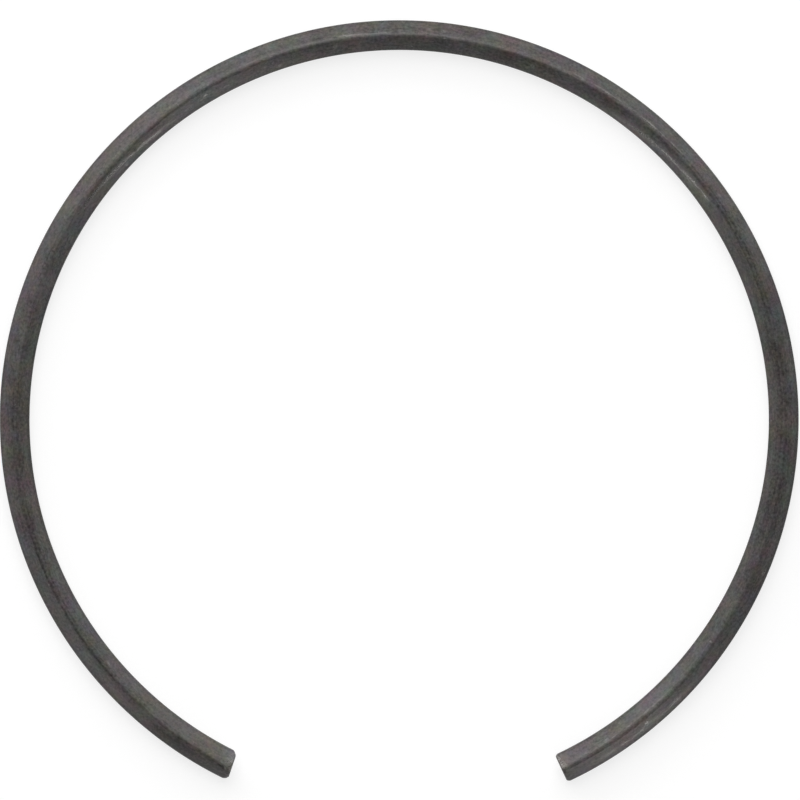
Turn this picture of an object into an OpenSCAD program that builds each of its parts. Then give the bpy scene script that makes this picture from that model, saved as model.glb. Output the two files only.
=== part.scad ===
// Open retaining ring: four-sided spring wire coiled on its corner, with a wide mouth and
// two sheared ends. The ring's axis is Z, its middle plane is z = 0 and the mouth faces -Y.
// All sizes are in millimetres.

/* [Ring] */
// Free outside diameter, over the flat that coiling leaves on the outer rim
ring_od = 80; // [60:1:100]
// Angle that the mouth takes out of the circle
mouth_angle = 50.6; // [20:0.2:80]

/* [Wire section] */
// Radial width of the wire, over the flats on its two rims
wire_width = 3; // [2.6:0.1:3.6]
// Height of the wire, from the lower ridge to the upper one
wire_height = 3; // [2.6:0.1:3.6]
// Radius of the round on each of the wire's four corners
corner_radius = 0.5; // [0.3:0.05:0.6]
// Radius of the slight crown across each of the four flanks
flank_radius = 9; // [6:0.5:20]
// Depth to which coiling pressed the corners on the two rims flat
rim_flat_depth = 0.03; // [0.02:0.01:0.05]

/* [Sheared ends] */
// Skew of the left cut, which lets its outer side reach into the mouth
left_skew = 7; // [0:0.5:12]
// Skew of the right cut
right_skew = 0; // [0:0.5:12]
// Radius of the rolled corners of the left end
left_roll = 0.4; // [0.15:0.05:0.4]
// Radius of the rolled corners of the right end
right_roll = 0.2; // [0.15:0.05:0.4]

/* [Hidden] */
$fn = 96;

// The wire's middle runs along this radius
wire_path_r = (ring_od - wire_width) / 2;

// A corner round meets its flank this much proud, so that the two arcs cross instead of only touching
crossing = 0.002;

// Centres of the rounds on the outer rim and on the upper ridge, from the middle of the wire
rim_round_x = wire_width / 2 + rim_flat_depth - corner_radius;
ridge_round_y = wire_height / 2 - corner_radius;

// A flank is an arc that both of its corner rounds touch from inside, so its centre lies on the
// line that halves the way between theirs, on the far side of the wire
round_to_round = norm([rim_round_x, ridge_round_y]);
to_rounds = flank_radius - corner_radius;
back = sqrt(to_rounds * to_rounds - round_to_round * round_to_round / 4);
flank_x = rim_round_x / 2 - back * ridge_round_y / round_to_round;
flank_y = ridge_round_y / 2 - back * rim_round_x / round_to_round;

// Where a flank leaves its rounds: half the width and half the height of the crowned core
core_x = rim_round_x + corner_radius * (rim_round_x - flank_x) / to_rounds;
core_y = ridge_round_y + corner_radius * (ridge_round_y - flank_y) / to_rounds;

// Wire left past each cut before the shear takes it off, and the reach of the tools round the wire
shear_stock = 2;
tool_reach = max(wire_width, wire_height);
stock_angle = shear_stock / wire_path_r * 180 / PI / 2;

// The four crowned flanks, cut off where the corner rounds take over
module crowned_core() {
    intersection() {
        translate([flank_x, flank_y]) circle(r = flank_radius);
        translate([-flank_x, flank_y]) circle(r = flank_radius);
        translate([flank_x, -flank_y]) circle(r = flank_radius);
        translate([-flank_x, -flank_y]) circle(r = flank_radius);
        square([2 * core_x, 2 * core_y], center = true);
    }
}

module corner_rounds() {
    for (side = [-1, 1]) {
        translate([side * rim_round_x, 0]) circle(r = corner_radius + crossing);
        translate([0, side * ridge_round_y]) circle(r = corner_radius + crossing);
    }
}

// The wire's section stands on its corner, with its two rims pressed flat
module wire_section() {
    intersection() {
        union() {
            crowned_core();
            corner_rounds();
        }
        square([wire_width, 2 * wire_height], center = true);
    }
}

// The coil before shearing, a little longer than the ring at both ends
module coiled_wire() {
    rotate([0, 0, mouth_angle / 2 - 90 - stock_angle])
        rotate_extrude(angle = 360 - mouth_angle + 2 * stock_angle)
            translate([wire_path_r, 0]) wire_section();
}

// Takes off what lies past the cut. The cut passes through the wire's middle, with +Y into the mouth
module shear(skew) {
    rotate([0, 0, skew])
        translate([-tool_reach, 0, -tool_reach])
            cube([2 * tool_reach, shear_stock, 2 * tool_reach]);
}

// Rolls the sharp corners over behind the cut: takes off what stands outside a ball in the wire's
// middle, which leaves the cut face flat out to where the roll starts
module corner_roll(skew, roll) {
    rim = max(wire_width, wire_height) / 2;
    rotate([0, 0, skew])
        difference() {
            translate([-tool_reach, -rim, -tool_reach])
                cube([2 * tool_reach, rim + shear_stock, 2 * tool_reach]);
            translate([0, -rim, 0]) sphere(r = norm([rim - roll, rim]));
        }
}

// Places the tools for the left end; the right end is its mirror image
module at_left_end() {
    rotate([0, 0, -90 - mouth_angle / 2]) translate([wire_path_r, 0, 0]) children();
}

module retaining_ring() {
    color([0.38, 0.37, 0.36])
        difference() {
            coiled_wire();
            at_left_end() shear(left_skew);
            at_left_end() corner_roll(left_skew, left_roll);
            mirror([1, 0, 0]) at_left_end() shear(right_skew);
            mirror([1, 0, 0]) at_left_end() corner_roll(right_skew, right_roll);
        }
}

retaining_ring();
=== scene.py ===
# %% [markdown]
# # A retaining ring of four-sided spring wire
#
# The ring is one length of hard-drawn steel wire, coiled with a corner of its section pointing up and
# sheared off at both ends. It has no lugs: it is squeezed shut, let go in the groove of a bore, and its
# own spring keeps it there. This lesson builds the one piece and its finish on top of the CAD model, which
# gives the frame: Blender's objects are in metres and share the CAD's origin, the middle of the ring.

# %% Load the frame
import math

import bpy
import numpy as np
from mathutils import Matrix, Vector


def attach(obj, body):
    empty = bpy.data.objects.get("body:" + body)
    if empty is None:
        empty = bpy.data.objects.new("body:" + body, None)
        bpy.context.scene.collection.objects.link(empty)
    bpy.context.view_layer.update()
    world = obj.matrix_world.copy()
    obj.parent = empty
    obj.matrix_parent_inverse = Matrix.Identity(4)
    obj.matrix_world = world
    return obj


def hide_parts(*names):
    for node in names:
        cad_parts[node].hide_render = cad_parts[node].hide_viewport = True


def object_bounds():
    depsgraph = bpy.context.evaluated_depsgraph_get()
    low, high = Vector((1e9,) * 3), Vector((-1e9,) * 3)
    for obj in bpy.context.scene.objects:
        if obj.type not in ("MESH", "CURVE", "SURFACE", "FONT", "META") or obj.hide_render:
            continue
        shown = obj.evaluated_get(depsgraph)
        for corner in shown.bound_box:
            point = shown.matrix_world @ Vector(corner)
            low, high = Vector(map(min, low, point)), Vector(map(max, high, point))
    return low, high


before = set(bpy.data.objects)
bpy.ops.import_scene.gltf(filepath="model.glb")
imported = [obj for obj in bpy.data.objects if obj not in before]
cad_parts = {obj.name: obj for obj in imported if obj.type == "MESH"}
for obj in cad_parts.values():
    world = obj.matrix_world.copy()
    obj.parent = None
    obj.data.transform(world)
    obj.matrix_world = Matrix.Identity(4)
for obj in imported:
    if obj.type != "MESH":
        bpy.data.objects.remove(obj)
cad_box = [list(corner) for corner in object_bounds()]
scene = bpy.context.scene
print("CAD box in mm:", np.round(np.array(cad_box) * 1000, 2).tolist())

# %% [markdown]
# ## Sizes
#
# These are the sizes of the part's source, in millimetres, because the visible surface has to lie on the
# CAD solid and inside its box. `MM` turns them into Blender's metres at the very end.

# %% Sizes of the wire and of the ring
MM = 0.001
ring_od = 80.0
mouth_angle = 50.6
wire_width = 3.0
wire_height = 3.0
corner_radius = 0.5
flank_radius = 9.0
rim_flat_depth = 0.03
path_radius = (ring_od - wire_width) / 2
start_angle = math.radians(mouth_angle / 2 - 90)
wire_length = math.radians(360 - mouth_angle) * path_radius
print(f"wire {wire_length:.1f} mm long on a path of radius {path_radius} mm")

# %% [markdown]
# ## Camera
#
# The photograph looks straight down the ring's axis from far away, so that both rims are true circles and
# neither hides the other. A long lens on a distant camera does the same. The picture is square and just as
# wide as the ring; the ring sits a little low in it and is turned by less than half a degree.

# %% The camera, above the ring
picture_width = 80.1
lens = 600.0
sensor = 36.0
picture_roll = math.radians(0.4)
picture_centre = Matrix.Rotation(picture_roll, 3, "Z") @ Vector((0.08, 1.967, 0.0))
camera_data = bpy.data.cameras.new("camera")
camera_data.lens = lens
camera_data.sensor_width = sensor
camera_data.clip_start = 0.05
camera_data.clip_end = 20.0
camera = bpy.data.objects.new("camera", camera_data)
camera_height = picture_width * lens / sensor
camera.location = (picture_centre + Vector((0, 0, camera_height))) * MM
camera.rotation_euler = (0, 0, picture_roll)
scene.collection.objects.link(camera)
scene.camera = camera
print(f"camera {camera_height:.0f} mm up, which is {camera_height / ring_od:.1f} ring diameters")

# %% [markdown]
# ## Floor
#
# Small hardware is photographed on a light table, a pale sheet that is lit from below as well, so that the
# ground comes out white and shadows stay faint. The floor is one square face, and the light from below is
# emission in its material, which gives it most of its white. It belongs to the stage and not to the object.

# %% The light table
floor_level = cad_box[0][2]
floor_half = 3.0
floor_mesh = bpy.data.meshes.new("light_table")
floor_mesh.from_pydata(
    [(x * floor_half, y * floor_half, floor_level) for x, y in ((-1, -1), (1, -1), (1, 1), (-1, 1))],
    [],
    [(0, 1, 2, 3)],
)
floor = bpy.data.objects.new("light_table", floor_mesh)
scene.collection.objects.link(floor)
floor_paint = bpy.data.materials.new("pale_table")
floor_paint.use_nodes = True
floor_shader = floor_paint.node_tree.nodes["Principled BSDF"]
floor_shader.inputs["Base Color"].default_value = (0.3, 0.3, 0.3, 1)
floor_shader.inputs["Roughness"].default_value = 0.9
floor_shader.inputs["Specular IOR Level"].default_value = 0.2
floor_shader.inputs["Emission Color"].default_value = (1, 1, 1, 1)
floor_shader.inputs["Emission Strength"].default_value = 0.76
floor_mesh.materials.append(floor_paint)
print(f"floor at z = {floor_level * 1000:.3f} mm, under the lower ridge")

# %% [markdown]
# ## Light
#
# The four flanks stand at 45 degrees, so a camera straight above sees in them what lies near the horizon.
# That is why the light comes in low. A bank of soft boxes stands in an arc beyond the top of the picture,
# with one more above it, and two small boxes fill in from the picture's lower corners. A weak one hangs
# high beyond the lower right. None is straight overhead, so the crest of the wire stays dark where it isn't
# turned towards the bank.

# %% Soft boxes round the table
light_distance = 0.8


def soft_box(name, azimuth, elevation, width, height, radiance):
    """A rectangular light that faces the ring from the light distance, in metres.

    Its power is radiance times pi times its area.
    """
    data = bpy.data.lights.new(name, "AREA")
    data.shape = "RECTANGLE"
    data.size = width
    data.size_y = height
    data.energy = radiance * math.pi * width * height
    light = bpy.data.objects.new(name, data)
    turn, rise = math.radians(azimuth), math.radians(elevation)
    towards = Vector((math.cos(turn) * math.cos(rise), math.sin(turn) * math.cos(rise), math.sin(rise)))
    light.location = towards * light_distance
    light.rotation_euler = towards.to_track_quat("Z", "Y").to_euler()
    light.visible_camera = False
    scene.collection.objects.link(light)
    print(f"{name}: {data.energy:.2f} W")


soft_box("bank_left", azimuth=130, elevation=20, width=0.58, height=0.5, radiance=2.5)
soft_box("bank_middle", azimuth=96, elevation=28, width=0.5, height=0.3, radiance=3.6)
soft_box("bank_right", azimuth=55, elevation=16, width=0.55, height=0.5, radiance=1.62)
soft_box("bank_top", azimuth=98, elevation=60, width=0.6, height=0.6, radiance=2.6)
soft_box("front_top", azimuth=308, elevation=66, width=0.6, height=0.6, radiance=0.55)
soft_box("left_fill", azimuth=213, elevation=13, width=0.4, height=0.28, radiance=1.9)
soft_box("right_fill", azimuth=304, elevation=11, width=0.24, height=0.25, radiance=4.2)
room = bpy.data.worlds.new("room")
room.use_nodes = True
room.node_tree.nodes["Background"].inputs["Color"].default_value = (1, 1, 1, 1)
room.node_tree.nodes["Background"].inputs["Strength"].default_value = 0.14
scene.world = room
scene.view_settings.view_transform = "Standard"

# %% [markdown]
# ## The wire's section
#
# A section could be drawn by hand as a curve and bevelled, but then its corners would only be near the true
# ones. Here it is worked out from the arcs that the CAD uses: a short flat on each rim, which coiling
# pressed into the corner, a small round, and a flank that bulges very slightly. One quarter is enough.

# %% A quarter of the section, then all of it
def arc(centre, radius, first, last, steps):
    """Points on a circle: centre + radius * (cos, sin), from the first angle to just before the last."""
    angles = np.linspace(first, last, steps, endpoint=False)
    return np.column_stack([centre[0] + radius * np.cos(angles), centre[1] + radius * np.sin(angles)])


def quarter_section(flat_steps, round_steps, flank_steps, ridge_steps):
    """From the outer rim up to the ridge, as rows of (x, z).

    The flank's centre lies as far behind the line between its two rounds as makes its arc touch both of
    them from outside: back = sqrt((flank radius - round radius) ** 2 - (half that line) ** 2).
    """
    rim_centre = np.array([wire_width / 2 + rim_flat_depth - corner_radius, 0.0])
    ridge_centre = np.array([0.0, wire_height / 2 - corner_radius])
    line = ridge_centre - rim_centre
    length = np.hypot(*line)
    back = math.sqrt((flank_radius - corner_radius) ** 2 - length**2 / 4)
    flank_centre = (rim_centre + ridge_centre) / 2 + back * np.array([-line[1], line[0]]) / length
    low = math.atan2(*(rim_centre - flank_centre)[::-1])
    high = math.atan2(*(ridge_centre - flank_centre)[::-1])
    flat_end = math.acos((wire_width / 2 - rim_centre[0]) / corner_radius)
    flat_top = corner_radius * math.sin(flat_end)
    flat = np.column_stack(
        [np.full(flat_steps, wire_width / 2), np.linspace(0, flat_top, flat_steps, endpoint=False)]
    )
    return np.vstack(
        [
            flat,
            arc(rim_centre, corner_radius, flat_end, low, round_steps),
            arc(flank_centre, flank_radius, low, high, flank_steps),
            arc(ridge_centre, corner_radius, high, math.pi / 2, ridge_steps),
            [[0.0, wire_height / 2]],
        ]
    )


quarter = quarter_section(flat_steps=1, round_steps=4, flank_steps=8, ridge_steps=6)
section = np.vstack(
    [
        quarter[:-1],
        (quarter * [-1, 1])[::-1][:-1],
        -quarter[:-1],
        (quarter * [1, -1])[::-1][:-1],
    ]
)
# Outwards, at each point: the step from the point before it to the point after it, turned to the right.
section_step = np.roll(section, -1, axis=0) - np.roll(section, 1, axis=0)
section_out = np.column_stack([section_step[:, 1], -section_step[:, 0]])
section_out /= np.linalg.norm(section_out, axis=1, keepdims=True)
print(f"section: {len(section)} points, {np.ptp(section[:, 0]):.2f} x {np.ptp(section[:, 1]):.2f} mm")

# %% [markdown]
# ## Stations along the wire
#
# The section is carried along the path at stations that stand close together near the ends, where the cut
# and its rolled corners need them, and further apart on the long even stretch.

# %% Where the stations stand
end_zone = 4.0
end_count = 40
even_count = 1021
crowding = 1.6
end_distances = end_zone * np.linspace(0, 1, end_count) ** crowding
even_stations = np.linspace(end_zone, wire_length - end_zone, even_count)
stations = np.concatenate([end_distances, even_stations[1:-1], wire_length - end_distances[::-1]])
print(f"{len(stations)} stations, {np.diff(stations).min():.3f} to {np.diff(stations).max():.3f} mm apart")

# %% [markdown]
# ## What drawing, coiling and handling left in the surface
#
# Real wire isn't a perfect sweep. It twists by a few degrees as it goes through the coiling rolls, most near
# its ends. The die leaves fine beads along the flanks, the flanks aren't quite even, and knocks leave dents
# and small burrs. A texture could push the surface about at random, but it couldn't put a bead or a dent in
# its place. So each of these is worked out as a height above or below the true section. The deepest goes in
# by about a tenth of a millimetre, and none lets the ring outgrow the CAD.

# %% Helpers for smooth steps and soft noise
rng = np.random.default_rng(41)


def smooth_step(low, high, value):
    """From 0 at low to 1 at high, as 3 t^2 - 2 t^3, where t is the share of the way that lies behind.

    Where low is the larger of the two, it is 1 below high and 0 above low.
    """
    t = np.clip((value - low) / (high - low), 0, 1)
    return t * t * (3 - 2 * t)


def ripple(along, across, length, waves):
    """Soft noise from -1 to 1: the mean of a few sine waves of random direction, length and phase."""
    total = 0
    for _ in range(waves):
        turn, size = rng.uniform(-0.5, 0.5), length * rng.uniform(0.6, 1.6)
        shift = rng.uniform(0, 2 * math.pi)
        travelled = along * math.cos(turn) + across * math.sin(turn)
        total = total + np.sin(2 * math.pi * travelled / size + shift)
    return total / waves


def at_angle(degrees):
    """How far along the wire the ring's angle lies, measured from the first end, in mm."""
    return (math.radians(degrees) - start_angle) * path_radius


print(f"the top of the ring is {at_angle(90):.1f} mm along the wire")

# %% Twist of the section along the wire
# Each row: the ring's angle and the twist there, in degrees. Above 0 the upper crest leans inwards.
twist_rows = np.array(
    [
        [-65, -5.0],
        [-48, -1.5],
        [-36, 1.5],
        [-20, 3.0],
        [10, 1.0],
        [42, -3.5],
        [56, -1.0],
        [72, 1.8],
        [100, 1.4],
        [122, 3.6],
        [136, 5.0],
        [154, -2.0],
        [172, 1.0],
        [205, 4.0],
        [225, 6.5],
        [236, -1.0],
        [245, -7.0],
    ]
)
twist = np.full(len(stations), twist_rows[0, 1])
for (angle, twist_here), (next_angle, next_twist) in zip(twist_rows[:-1], twist_rows[1:]):
    twist = twist + (next_twist - twist_here) * smooth_step(at_angle(angle), at_angle(next_angle), stations)
twist = np.radians(twist)
print(f"twist from {np.degrees(twist.min()):.1f} to {np.degrees(twist.max()):.1f} degrees")

# %% Unevenness of the flanks
along = stations[:, None]
across = section[None, :, 0]
upper = section[None, :, 1] > 0
slow_depth = 0.004
fine_depth = 0.0015
slow_waves = ripple(along, across * 9, length=17.0, waves=7)
fine_waves = ripple(along, across * 6, length=1.9, waves=9)
height = -slow_depth * (1 + slow_waves) - fine_depth * (1 + fine_waves)
print(f"flanks {-height.max() * 1000:.0f} to {-height.min() * 1000:.0f} micrometres under the true section")

# %% [markdown]
# ## Beads
#
# A worn die draws raised lines along the wire, and where the wire twists, such a line wanders across the
# flank. They catch the light as bright streaks. The photograph shows two strands on the inner flank at the
# upper left, a broad one at the upper right, and low ones on the outer flank near both ends. A bead is a
# soft bump across the wire that fades in and out along it. The faint one and the rubbed stretches of the
# crest are lines of the same kind that add no height, because there only the skin is worn.

# %% Beads and rubbed lines
def bead(first, last, x_first, x_last, half_width):
    """A line on the upper side from one ring angle to another, while its x goes from one to the other.

    It is exp(-(distance from the line / half width) ** 2), faded in and out over 0.3 of its length.
    """
    share = np.clip((along - at_angle(first)) / (at_angle(last) - at_angle(first)), 0, 1)
    line = x_first + (x_last - x_first) * share
    fade = smooth_step(0, 0.3, share) * (1 - smooth_step(0.7, 1, share))
    return np.where(upper, fade * np.exp(-(((across - line) / half_width) ** 2)), 0)


left_bead = np.maximum(bead(123, 154, -1.13, -0.16, 0.20), 0.5 * bead(134, 141, -1.10, -0.96, 0.10))
faint_bead = bead(131, 110, -0.80, -0.95, 0.26)
right_bead = bead(62, 30, -1.30, -0.52, 0.30)
outer_bead = np.maximum(bead(-66, -35, 0.86, 1.00, 0.28), 0.6 * bead(234, 214, 0.86, 0.84, 0.28))
crest_rub = np.maximum.reduce(
    [
        0.62 * bead(104, 88, 0.28, 0.28, 0.15),
        0.85 * bead(68, 40, 0.22, 0.22, 0.17),
        0.92 * bead(64, 40, 0.20, 0.24, 0.19),
        0.66 * bead(-67, -38, -0.29, -0.29, 0.14),
    ]
)
left_rise, right_rise, outer_rise = 0.012, 0.013, 0.007
height = height + left_rise * left_bead + right_rise * right_bead + outer_rise * outer_bead
print(f"beads up to {max(left_rise, right_rise, outer_rise) * 1000:.0f} micrometres high")

# %% [markdown]
# ## Dents
#
# A knock leaves a dent, and the steel that it pushes aside can stand up next to it as a burr. Each is a soft
# hollow or bump, depth * exp(-(ahead / length) ** 2 - (aside / width) ** 2), where ahead and aside are the
# distances from its middle along and across the wire. The ones that the photograph shows, at the top of the
# ring and at its ends, have places of their own, and small ones are scattered over the crest. The nick near
# the left end is three of them: a shallow dent, a groove in it and the lip of the groove.

# %% Dents and burrs
# Each row: ring angle, x from the middle of the wire, length along it, width across it, depth, slant.
# The slant is how far x moves for each mm along the wire. A depth below 0 is a burr.
dents = np.array(
    [
        [92.1, -0.26, 0.24, 0.14, 0.070, 0.0],
        [92.2, 0.17, 0.15, 0.10, -0.020, 0.0],
        [90.6, 0.22, 0.10, 0.12, 0.016, 0.0],
        [86.9, 0.42, 0.14, 0.11, -0.030, 0.3],
        [85.9, 0.62, 0.12, 0.10, -0.026, 0.0],
        [84.3, 0.16, 0.14, 0.12, -0.026, -0.4],
        [83.6, 0.02, 0.12, 0.10, 0.050, 0.2],
        [100.3, -0.58, 0.10, 0.10, -0.025, 0.0],
        [-51.0, 0.80, 0.22, 0.09, -0.022, 0.5],
        [-50.0, 0.88, 0.16, 0.08, -0.020, -0.3],
        [243.9, 0.00, 0.50, 0.26, 0.045, 0.0],
        [244.1, 0.23, 0.28, 0.12, 0.090, 0.31],
        [244.0, 0.01, 0.28, 0.09, -0.066, 0.31],
    ]
)
# The scattered ones have the same six columns.
knocks = 60
random_dents = np.column_stack(
    [
        rng.uniform(-62, 240, knocks),
        rng.normal(0.0, 0.22, knocks),
        rng.uniform(0.06, 0.26, knocks),
        rng.uniform(0.05, 0.11, knocks),
        rng.uniform(0.008, 0.030, knocks),
        rng.uniform(-0.8, 0.8, knocks),
    ]
)
dented = 0
for angle, x, length, width, depth, slant in np.vstack([dents, random_dents]):
    ahead = along - at_angle(angle)
    aside = across - x - slant * ahead
    near = np.exp(-((ahead / length) ** 2) - (aside / width) ** 2)
    dented = dented + np.where(upper, depth * near, 0)
height = height - dented
print(f"surface {height.min() * 1000:.0f} to {height.max() * 1000:.0f} micrometres off the true section")

# %% [markdown]
# ## Sheared ends
#
# A shear leaves a nearly flat face. Its upper edge is rolled over where the blade came in, and its lower
# edge is sharp. The cut is a plane through the wire's middle, a few degrees askew at the left end. Far from
# the middle it falls back on a ball, as in the CAD, which rounds the corners of the outline. The same blow
# pressed the crest at each end down into a small facet that leans inwards. The photograph shows the facets
# as pale patches. A Boolean cut and a bevel would give one even edge, so the cut is worked out as well.

# %% The shape of a cut
class Cut:
    """One end of the wire.

    skew is the cut's angle in degrees and roll the roll of its corners; inner_edge, outer_edge and
    lower_edge are the radii of its edges. facet is the height at the crest, the slope across and the rise
    away from the end of the facet that the blade pressed into it.
    """

    inner_to_outer = (-0.1, 0.35)
    lower_to_upper = (-0.4, 0.2)

    def __init__(self, skew, roll, inner_edge, outer_edge, lower_edge, facet):
        self.skew = math.tan(math.radians(skew))
        self.roll = roll
        self.inner_edge = inner_edge
        self.outer_edge = outer_edge
        self.lower_edge = lower_edge
        self.facet = facet

    def face(self, x, z):
        """How far the cut's face lies past the wire's end: x * skew, less what the ball takes off.

        The ball's centre is half a wire behind the cut, and it meets the cut at half a wire less the roll.
        """
        rim = max(wire_width, wire_height) / 2
        ball = (rim - self.roll) ** 2 + rim**2
        return x * self.skew + np.minimum(0, np.sqrt(ball - x**2 - z**2) - rim)

    def edge(self, x, z):
        """The radius of the edge: one on the upper inner part, one on the upper outer part, one below."""
        outer_share = smooth_step(*self.inner_to_outer, x)
        above = self.inner_edge + (self.outer_edge - self.inner_edge) * outer_share
        return self.lower_edge + (above - self.lower_edge) * smooth_step(*self.lower_to_upper, z)

    def facet_level(self, x, distance):
        """The facet's height: level + slope * x + rise * distance."""
        level, slope, rise = self.facet
        return level + slope * x + rise * distance


right_cut = Cut(
    skew=0, roll=0.2, inner_edge=0.16, outer_edge=0.20, lower_edge=0.07, facet=(1.45, 0.80, 0.30)
)
left_cut = Cut(
    skew=7, roll=0.4, inner_edge=0.09, outer_edge=0.24, lower_edge=0.07, facet=(1.46, 0.82, 0.22)
)
for side, cut in (("right", right_cut), ("left", left_cut)):
    at_rims = cut.face(np.array([-wire_width / 2, wire_width / 2]), 0.0)
    print(f"{side} cut: {at_rims[0]:.2f} mm past the end at the inner rim, {at_rims[1]:.2f} at the outer")

# %% [markdown]
# ## The ring's surface
#
# Every point is known by its place along the wire and its place in the section, so one function turns those
# two into a place in the room. The body is a grid of stations by section points. Each end goes on with
# loops that run round the edge, then shrink across the cut to a point in its middle, which closes the end.

# %% From a place on the wire to a place in the room
def bend(s, x, z):
    """Rolls the wire up: the angle is start + s / (radius + x) past an end, and start + s / radius between.

    s, x and z are arrays of one shape. Past an end the cut is flat, so its overhang is divided by the
    point's own radius, and not by the path's.
    """
    inside = np.clip(s, 0, wire_length)
    angle = start_angle + inside / path_radius + (s - inside) / (path_radius + x)
    radius = path_radius + x
    return np.stack([radius * np.cos(angle), radius * np.sin(angle), z], axis=-1)


def turned(x, z, angle):
    """The section's points after a turn about the wire's middle."""
    return x * np.cos(angle) - z * np.sin(angle), x * np.sin(angle) + z * np.cos(angle)

# %% The body's section at every station
facet_roughness = 0.010
plain_x = section[None, :, 0] + height * section_out[None, :, 0]
plain_z = section[None, :, 1] + height * section_out[None, :, 1]
hammered = facet_roughness * ripple(along * 3, across * 9, length=2.0, waves=6)
pressed_z = plain_z
for cut, distance in ((right_cut, along), (left_cut, wire_length - along)):
    level = cut.facet_level(plain_x, distance) + hammered
    pressed_z = np.where(upper, np.minimum(pressed_z, level), pressed_z)
pressed = smooth_step(0.0, 0.03, plain_z - pressed_z)
body_x, body_z = turned(plain_x, pressed_z, twist[:, None])
print(f"facets up to {(plain_z - pressed_z).max():.2f} mm under the plain wire")

# %% The body's grid, drawn back at its ends to where the edge begins
def end_shift(cut, x, z, distance):
    """What the cut adds to s near an end: the face and the edge, faded out over the end zone."""
    return (cut.face(x, z) - cut.edge(x, z)) * (1 - smooth_step(0, end_zone, distance))


body_s = along - end_shift(right_cut, body_x, body_z, along)
body_s = body_s + end_shift(left_cut, body_x, body_z, wire_length - along)
print(f"the body's stations overlap nowhere: {bool((np.diff(body_s, axis=0) > 0).all())}")

# %% Loops that close an end
edge_turns = np.radians([15, 30, 45, 60, 75, 90])
face_scales = np.array([0.93, 0.84, 0.74, 0.63, 0.51, 0.38, 0.24, 0.1])
tear_depth = 0.03
tear_spread = 0.4


def end_loops(cut, x, z, out_x, out_z, seed):
    """Loops from the edge to the middle of a cut, as (overhang, x, z), each of shape (loops, points).

    On the edge a loop moves in by radius * (1 - cos t) and forward by radius * sin t. On the face it is the
    last edge loop, scaled down, with the tearing that a shear leaves on the far half of a cut.
    """
    radius = cut.edge(x, z)
    turns = edge_turns[:, None]
    edge_x = x - out_x * radius * (1 - np.cos(turns))
    edge_z = z - out_z * radius * (1 - np.cos(turns))
    edge_past = cut.face(edge_x, edge_z) - radius * (1 - np.sin(turns))
    face_x = edge_x[-1] * face_scales[:, None]
    face_z = edge_z[-1] * face_scales[:, None]
    noise = np.random.default_rng(seed)
    tear = noise.normal(0, 1, (len(face_scales), len(x)))
    tear = (tear + np.roll(tear, 1, axis=1) + np.roll(tear, -1, axis=1)) / 3
    torn = smooth_step(0.1, -0.5, face_z) * smooth_step(1.0, 0.9, face_scales[:, None])
    face_past = cut.face(face_x, face_z) - tear_depth * torn * (1 + tear_spread * tear)
    return (
        np.vstack([edge_past, face_past]),
        np.vstack([edge_x, face_x]),
        np.vstack([edge_z, face_z]),
    )


right_out = turned(section_out[:, 0], section_out[:, 1], twist[0])
left_out = turned(section_out[:, 0], section_out[:, 1], twist[-1])
right_past, right_x, right_z = end_loops(right_cut, body_x[0], body_z[0], *right_out, seed=3)
left_past, left_x, left_z = end_loops(left_cut, body_x[-1], body_z[-1], *left_out, seed=5)
print(f"{len(right_past)} loops close each end")

# %% [markdown]
# ## Mesh
#
# All loops go into one long grid, from the middle of the right cut, along the wire, to the middle of the
# left one. Its faces are numbered with whole arrays, and a fan of triangles closes each of the two poles.
# Besides its place, each point keeps its place on the wire as an attribute, for patterns that run along it.

# %% One grid from pole to pole
grid_s = np.vstack([-right_past[::-1], body_s, wire_length + left_past])
grid_x = np.vstack([right_x[::-1], body_x, left_x])
grid_z = np.vstack([right_z[::-1], body_z, left_z])
grid = bend(grid_s, grid_x, grid_z)
pole_s = np.array([-right_cut.face(0.0, 0.0), wire_length + left_cut.face(0.0, 0.0)])
poles = bend(pole_s, np.zeros(2), np.zeros(2))
rows, columns = grid_s.shape

numbers = np.arange(rows * columns).reshape(rows, columns)
beside = np.roll(numbers, -1, axis=1)
quads = np.stack([numbers[:-1], numbers[1:], beside[1:], beside[:-1]], axis=-1).reshape(-1, 4)
near_pole, far_pole = rows * columns, rows * columns + 1
near_fan = np.column_stack([numbers[0], beside[0], np.full(columns, near_pole)])
far_fan = np.column_stack([beside[-1], numbers[-1], np.full(columns, far_pole)])
print(f"grid: {rows} loops of {columns} points")

# %% A mesh from whole arrays
def mesh_from_arrays(name, points, faces_by_size):
    """A mesh from an array of points and a list of face arrays, each with its own number of corners."""
    mesh = bpy.data.meshes.new(name)
    corners = np.concatenate([faces.ravel() for faces in faces_by_size])
    counts = np.concatenate([np.full(len(faces), faces.shape[1]) for faces in faces_by_size])
    mesh.vertices.add(len(points))
    mesh.vertices.foreach_set("co", points.astype(np.float32).ravel())
    mesh.loops.add(len(corners))
    mesh.loops.foreach_set("vertex_index", corners.astype(np.int32))
    mesh.polygons.add(len(counts))
    mesh.polygons.foreach_set("loop_start", (np.cumsum(counts) - counts).astype(np.int32))
    mesh.polygons.foreach_set("use_smooth", np.ones(len(counts), dtype=bool))
    mesh.update(calc_edges=True)
    mesh.validate()
    return mesh


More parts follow.
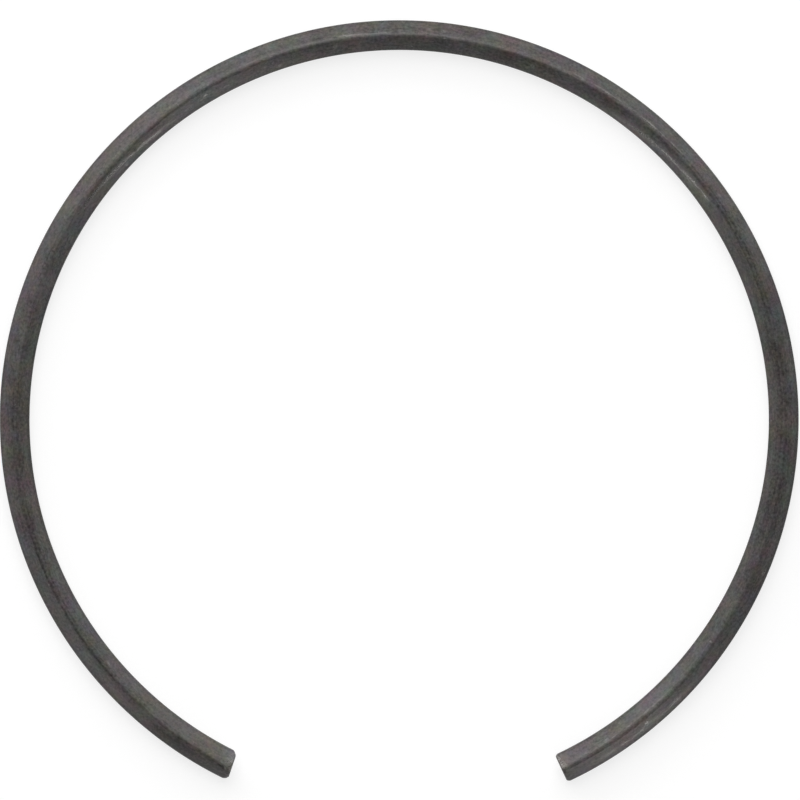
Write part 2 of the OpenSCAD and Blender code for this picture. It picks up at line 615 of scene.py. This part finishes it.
ring_points = np.vstack([grid.reshape(-1, 3), poles]) * MM
ring_mesh = mesh_from_arrays("retaining_ring_wire", ring_points, [quads, near_fan, far_fan])
wire_place = np.vstack(
    [
        np.stack([grid_s, grid_x, grid_z], axis=-1).reshape(-1, 3),
        np.column_stack([pole_s, np.zeros((2, 2))]),
    ]
)
place = ring_mesh.attributes.new("wire_place", "FLOAT_VECTOR", "POINT")
place.data.foreach_set("vector", wire_place.astype(np.float32).ravel())
ring = bpy.data.objects.new("retaining_ring_wire", ring_mesh)
scene.collection.objects.link(ring)
triangles = 2 * len(quads) + len(near_fan) + len(far_fan)
print(f"ring: {len(ring_points)} points, {triangles} triangles")

# %% [markdown]
# ## Where handling rubs the skin
#
# A ring like this is strung on a rod, shaken in a box and pinched with a tool, so its skin wears where it
# touches things: beside both crests, on the beads, on the rims that ran through the coiling rolls, round the
# shallow dents and on the edges of the cuts. The bottom of a deep dent is not rubbed. That depends on the
# shape, so it is worked out with the shape and kept as an attribute: at 0 the skin is whole, and from 1 on
# it is gone. The material's noise breaks it up.

# %% Wear from the shape
# The crest is rubbed a little to both sides of its middle, and most round one place on the upper left.
crest_middle = 0.22
crest_spread = 0.22
crest_width = crest_spread + 0.05 * ripple(along, 0 * across, length=6.0, waves=5)
most_rubbed = at_angle(104)
rub_reach = 34
crest_share = 0.10 + 0.20 * np.exp(-(((along - most_rubbed) / rub_reach) ** 2))
beside_crest = np.exp(-(((np.abs(across) - crest_middle) / crest_width) ** 2))
crest_wear = crest_share * beside_crest * (np.abs(section[None, :, 1]) > 0.9)
rim_wear = 0.35 * smooth_step(1.38, 1.47, np.abs(across)) * np.ones_like(along)
deep = smooth_step(0.05, 0.12, dented)
dent_wear = np.clip(np.abs(dented) / 0.03, 0, 1) * 0.7 * (1 - deep)
# The widest wear wins. A bead that goes above 1 is bright in spite of the noise.
body_wear = np.maximum.reduce(
    [
        crest_wear,
        rim_wear,
        dent_wear,
        1.15 * left_bead,
        0.55 * faint_bead,
        0.92 * right_bead,
        0.72 * outer_bead,
        0.90 * crest_rub,
        0.75 * pressed,
    ]
)
print(f"wear from the shape: {body_wear.min():.2f} to {body_wear.max():.2f}")

# %% [markdown]
# ## Single marks
#
# Here and there the photograph shows a small spot of bright steel, or a dark one. A speckle noise would
# put them anywhere, so these few have places of their own, given as the camera sees them: by ring angle and
# by x after the twist. A spot is exp(-(along / half length) ** 2 - (across / half width) ** 2).

# %% Rubbed and dirty spots
# Each row: ring angle, x as seen from above, half length, half width, wear and change of tone.
# Where the wear is 0, the spot keeps its skin, and only the tone changes.
marks = np.array(
    [
        [-56.7, -0.35, 0.28, 0.14, 1.10, 0.4],
        [-50.4, 0.65, 0.34, 0.14, 1.20, 0.5],
        [-22.4, 1.05, 0.28, 0.14, 1.20, 0.5],
        [35.4, 0.60, 0.30, 0.14, 1.10, 0.5],
        [36.4, -0.57, 0.40, 0.12, 1.10, 0.3],
        [69.7, -0.70, 0.26, 0.14, 1.15, 0.4],
        [83.9, 0.60, 0.28, 0.14, 1.20, 0.5],
        [85.9, 0.65, 0.28, 0.14, 1.20, 0.5],
        [98.8, 0.35, 0.60, 0.12, 1.00, 0.2],
        [100.1, -0.60, 0.26, 0.14, 1.25, 0.5],
        [109.1, -1.10, 0.28, 0.14, 1.20, 0.4],
        [121.2, -0.65, 0.30, 0.14, 1.00, 0.3],
        [137.3, -1.15, 0.30, 0.14, 1.35, 0.5],
        [138.8, -0.70, 0.40, 0.13, 1.30, 0.4],
        [220.3, -0.55, 0.34, 0.14, 1.20, 0.5],
        [34.9, -0.65, 0.30, 0.12, 0.00, -0.5],
        [91.0, 0.25, 0.25, 0.12, 0.00, -0.8],
        [99.9, 0.25, 0.22, 0.12, 0.00, -0.7],
        [134.9, -0.75, 0.30, 0.12, 0.00, -0.5],
        # These two rows paint the nick near the left end: its lip paler, a painted highlight, and its groove
        # darker, a painted shade.
        [243.0, 0.18, 0.30, 0.11, 0.00, 1.5],
        [243.1, 0.46, 0.26, 0.10, 0.00, -0.9],
    ]
)
marked = 0
for angle, x, length, width, share, change in marks:
    near = np.exp(-(((body_s - at_angle(angle)) / length) ** 2) - ((body_x - x) / width) ** 2)
    if share == 0:
        body_wear = body_wear * (1 - near)
    near_above = np.where(upper, near, 0)
    body_wear = np.maximum(body_wear, share * near_above)
    marked = marked + change * near_above
print(f"{len(marks)} marks")

# %% Wear as an attribute
def end_wear(cut_x, cut_z):
    """Wear of an end's loops: most on the edge's upper and inner parts, a little on the face."""
    loops = np.arange(len(edge_turns) + len(face_scales))
    by_loop = np.interp(loops, [0, len(edge_turns) - 1, len(edge_turns) + 1], [0.7, 0.55, 0.15])
    by_height = 0.35 + 0.65 * smooth_step(-0.3, 0.3, cut_z)
    by_side = 1 - 0.7 * smooth_step(0, 0.5, cut_x)
    return by_loop[:, None] * by_height * by_side


def keep_on_points(mesh, name, values, at_poles):
    """Keeps a number for each point of the grid, and the same one for both poles, as an attribute."""
    attribute = mesh.attributes.new(name, "FLOAT", "POINT")
    on_points = np.concatenate([values.ravel(), [at_poles, at_poles]])
    attribute.data.foreach_set("value", on_points.astype(np.float32))


wear = np.vstack([end_wear(right_x, right_z)[::-1], body_wear, end_wear(left_x, left_z)])
keep_on_points(ring_mesh, "wear", wear, at_poles=0.1)
print(f"wear: {(wear > 0.5).mean() * 100:.1f}% of the points lie where the skin is rubbed")

# %% [markdown]
# ## Where the skin is paler or darker
#
# Some stretches of the ring are paler or darker than others. Part of that is painted light and shade: the
# pressed facets at the ends are paler where they turn to the light, the outer rim near the left end and the
# crest at the ring's two sides are darker where they lie in shade, and the skin on the beads is paler as a
# painted highlight. Elsewhere the tone only makes a stretch paler or darker. Noise would scatter that
# anywhere, so a second attribute, the tone, holds what has a place. The material adds it to the share of
# the pale skin. It is a sum of smooth steps near the ends and of bands along the wire. A band is
# change * exp(-(distance from its middle / half width) ** 2), faded in and out as a bead is.

# %% Tone near the ends and on the flanks
to_left_end = wire_length - grid_s
outer_half = smooth_step(0.1, 0.8, grid_x)
painted_shade_rim = smooth_step(1.0, 1.3, grid_x)
flank_middle = np.exp(-(((np.abs(grid_x) - 0.66) / 0.2) ** 2))
# Near the left end the outer half is darker and the inner half paler, and the outer rim there is darker
# still: painted shade. The last millimetre or two before each cut, where the pressed facet turns to the
# light, is paler once more: painted light. The middle of every flank is a little darker.
tone = -0.38 * outer_half * smooth_step(13.0, 3.0, to_left_end)
tone = tone + 0.18 * (1 - outer_half) * smooth_step(22.0, 6.0, to_left_end)
tone = tone + 0.40 * (1 - outer_half) * smooth_step(1.9, 0.4, to_left_end)
tone = tone + 0.36 * (1 - outer_half) * smooth_step(1.6, 0.2, grid_s)
tone = tone - 0.50 * painted_shade_rim * smooth_step(5.0, 1.5, to_left_end)
tone = tone - 0.10 * flank_middle
print(f"tone near the ends and on the flanks: {tone.min():.2f} to {tone.max():.2f}")

# %% Tone of single stretches
# Each row: first and last ring angle, x from the middle of the wire, half width and change of tone.
# The two rows with x near 0 that cross 0 and 180 degrees darken the crest at the ring's two sides, where no
# light falls on it: painted shade. The other rows make bands paler or darker.
stretches = [
    [-67, -40, 0.25, 0.28, 0.24],
    [-62, 26, 1.38, 0.20, -0.28],
    [-58, -36, -0.80, 0.50, 0.14],
    [-40, -18, 0.45, 0.40, 0.18],
    [-30, -10, -0.40, 0.60, -0.20],
    [-16, 18, -0.35, 0.50, -0.12],
    [-14, 22, 0.00, 0.24, -0.16],
    [8, 30, -0.60, 0.50, -0.18],
    [8, 50, 0.60, 0.40, 0.14],
    [14, 36, 0.10, 0.25, -0.22],
    [32, 66, -1.32, 0.20, 0.22],
    [61, 79, 0.10, 0.20, 0.20],
    [66, 104, -1.10, 0.40, -0.30],
    [98, 124, 0.52, 0.22, -0.24],
    [127, 139, 0.12, 0.20, 0.25],
    [134, 150, 1.15, 0.30, 0.15],
    [139, 170, -0.55, 0.60, 0.32],
    [141, 162, 0.80, 0.60, 0.14],
    [148, 162, 0.05, 0.25, -0.18],
    [154, 204, -1.38, 0.20, -0.24],
    [168, 196, 0.80, 0.55, 0.15],
    [172, 210, 0.06, 0.22, -0.24],
    [186, 218, -0.60, 0.40, 0.20],
    [196, 224, 1.25, 0.30, -0.15],
    [208, 232, 0.22, 0.25, -0.20],
    [222, 236, -0.35, 0.30, -0.15],
]
end_rows = len(edge_turns) + len(face_scales)
for first_angle, last_angle, middle, half_width, change in stretches:
    tone[end_rows:-end_rows] += change * bead(first_angle, last_angle, middle, middle, half_width)
# The skin on the beads is made paler so that their streaks show bright: painted highlight.
painted_bead_highlight = 0.45 * outer_bead + 0.50 * right_bead + 0.40 * left_bead
# The bottom of a deep dent is made darker.
tone[end_rows:-end_rows] += painted_bead_highlight - 0.4 * deep + marked
keep_on_points(ring_mesh, "tone", tone, at_poles=0)
print(f"tone: {tone.min():.2f} to {tone.max():.2f} with {len(stretches)} stretches")

# %% [markdown]
# ## Shader maths as Python
#
# A node tree is easier to read as an expression than as a web of links. `Value` wraps an output socket, and
# an operator on it adds the Math node that does the same. A Math node would turn a colour grey, so colours
# go through Mix and Vector Math. `Finish.node` adds these and any other node.

# %% A small language for shaders
class Value:
    """An output socket that can be added, multiplied and so on, with numbers or with other values."""

    def __init__(self, finish, socket):
        self.finish = finish
        self.socket = socket

    def maths(self, operation, *operands):
        """A Math node's result. Its sockets are numbered from 0, in the order of the operands."""
        return self.finish.node("ShaderNodeMath", {"operation": operation}, dict(enumerate(operands)))

    def __add__(self, other):
        return self.maths("ADD", self, other)

    def __sub__(self, other):
        return self.maths("SUBTRACT", self, other)

    def __rsub__(self, other):
        return self.maths("SUBTRACT", other, self)

    def __mul__(self, other):
        return self.maths("MULTIPLY", self, other)

    __radd__ = __add__
    __rmul__ = __mul__


class Finish:
    """A material, and the one way to add a node to it."""

    def __init__(self, name):
        self.material = bpy.data.materials.new(name)
        self.material.use_nodes = True
        self.tree = self.material.node_tree
        self.shader = self.tree.nodes["Principled BSDF"]

    def node(self, kind, settings=None, sockets=None, out=0):
        """Adds a node. Its settings are set first, then each socket gets its value or its link."""
        node = self.tree.nodes.new(kind)
        for name, value in (settings or {}).items():
            setattr(node, name, value)
        self.fill(node, sockets or {})
        return Value(self, node.outputs[out])

    def fill(self, node, sockets):
        """Gives sockets, by name or number, a number or colour of their own or a link from a value."""
        for key, value in sockets.items():
            if isinstance(value, Value):
                self.tree.links.new(value.socket, node.inputs[key])
            else:
                node.inputs[key].default_value = value

    def noise(self, place, scale, detail=2.0, roughness=0.5, out="Fac"):
        """Noise about 0.5, at so many features per unit of the place. "Color" gives three noises at once."""
        sockets = {"Vector": place, "Scale": scale, "Detail": detail, "Roughness": roughness}
        return self.node("ShaderNodeTexNoise", {"noise_dimensions": "3D"}, sockets, out)

    def step(self, value, low, high):
        """A smooth step from 0 at low to 1 at high."""
        settings = {"interpolation_type": "SMOOTHSTEP"}
        sockets = {"Value": value, "From Min": low, "From Max": high}
        return self.node("ShaderNodeMapRange", settings, sockets)

    def blend(self, amount, one, other):
        """One colour turning into the other as amount goes from 0 to 1.

        A Mix node has sockets for each kind of data: 0 is the factor, and 6, 7 and output 2 are colours.
        """
        settings = {"data_type": "RGBA", "clamp_factor": True}
        return self.node("ShaderNodeMix", settings, {0: amount, 6: one, 7: other}, out=2)

# %% [markdown]
# ## Phosphated spring steel
#
# The wire is phosphated and oiled: a dark grey skin of fine crystals, a little glossy with oil, reddish and
# greenish in patches. It has been rubbed through to bright steel in places. An image would have to be
# unrolled onto the wire, and noise needs no seam. What is scattered evenly reads the object's own
# coordinates, in metres. What runs along the wire reads `wire_place`, in millimetres, and a Mapping node
# stretches it. In `wire_place` X runs along the wire, and Y and Z are the place in the section.

# %% Patterns on the wire
steel = Finish("phosphated_spring_steel")
here = steel.node("ShaderNodeTexCoord", out="Object")
on_wire = steel.node("ShaderNodeAttribute", {"attribute_name": "wire_place"}, out="Vector")
wear_here = steel.node("ShaderNodeAttribute", {"attribute_name": "wear"}, out="Fac")
tone_here = steel.node("ShaderNodeAttribute", {"attribute_name": "tone"}, out="Fac")
across_here = steel.node("ShaderNodeSeparateXYZ", sockets={"Vector": on_wire}, out="Y")
drawn = steel.node("ShaderNodeMapping", sockets={"Vector": on_wire, "Scale": (0.16, 1.0, 1.0)})
patches = steel.noise(here, 330.0, detail=3.0, roughness=0.6)
grain = steel.noise(here, 3600.0, detail=2.0, roughness=0.6)
crystals = steel.noise(here, 11000.0, detail=1.0)
draw_lines = steel.noise(drawn, 6.0, detail=3.0, roughness=0.6)
hues = steel.noise(here, 480.0, detail=5.0, roughness=0.62, out="Color")
print(f"patterns: {len(steel.tree.nodes)} nodes so far")

# %% Where the skin is rubbed through
rub_noise = steel.noise(drawn, 4.5, detail=4.0, roughness=0.75)
specks = steel.step(steel.noise(here, 2300.0, detail=1.0), 0.735, 0.80)
rubbed = steel.step(wear_here + 2.2 * (rub_noise - 0.5), 0.45, 1.05)
rubbed = rubbed + 0.6 * specks
print(f"wear and specks: {len(steel.tree.nodes)} nodes so far")

# %% Colour, gloss and relief
dark_skin = (0.0235, 0.0213, 0.0202, 1)
pale_skin = (0.1080, 0.1000, 0.0960, 1)
bright_steel = (0.165, 0.160, 0.155, 1)
hue_spread = (1.1, 1.1, 1.1)
hue_base = (0.46, 0.45, 0.44)
# Near both rims the skin is up to a quarter darker: painted shade, as from the shadowed floor beside the
# wire.
rim = steel.step(steel.node("ShaderNodeMath", {"operation": "ABSOLUTE"}, {0: across_here}), 1.05, 1.5)
shade = 0.50 + tone_here - 0.25 * rim
shade = shade + 0.8 * (patches - 0.5) + 1.5 * (grain - 0.5) + 0.72 * (draw_lines - 0.5)
skin = steel.blend(shade, dark_skin, pale_skin)
hue = steel.node(
    "ShaderNodeVectorMath", {"operation": "MULTIPLY_ADD"}, {0: hues, 1: hue_spread, 2: hue_base}
)
skin = steel.node("ShaderNodeVectorMath", {"operation": "MULTIPLY"}, {0: skin, 1: hue})
colour = steel.blend(rubbed, skin, bright_steel)
roughness = 0.39 + 0.16 * (patches - 0.5) + 0.25 * (grain - 0.5) - 0.13 * rubbed
relief = 0.6 * grain + 0.15 * crystals + 0.5 * draw_lines
bump = steel.node("ShaderNodeBump", sockets={"Strength": 0.6, "Distance": 0.00006, "Height": relief})
steel.fill(
    steel.shader,
    {
        "Base Color": colour,
        "Metallic": 0.12 + 0.88 * rubbed,
        "Roughness": roughness,
        "Normal": bump,
        "IOR": 1.42,
        "Coat Weight": 0.08,
        "Coat Roughness": 0.3,
        "Coat IOR": 1.47,
    },
)
ring_mesh.materials.append(steel.material)
print(f"finish: {len(steel.tree.nodes)} nodes")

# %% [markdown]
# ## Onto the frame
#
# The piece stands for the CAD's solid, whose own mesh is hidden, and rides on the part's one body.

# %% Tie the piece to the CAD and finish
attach(ring, "root")
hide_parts("retaining_ring")
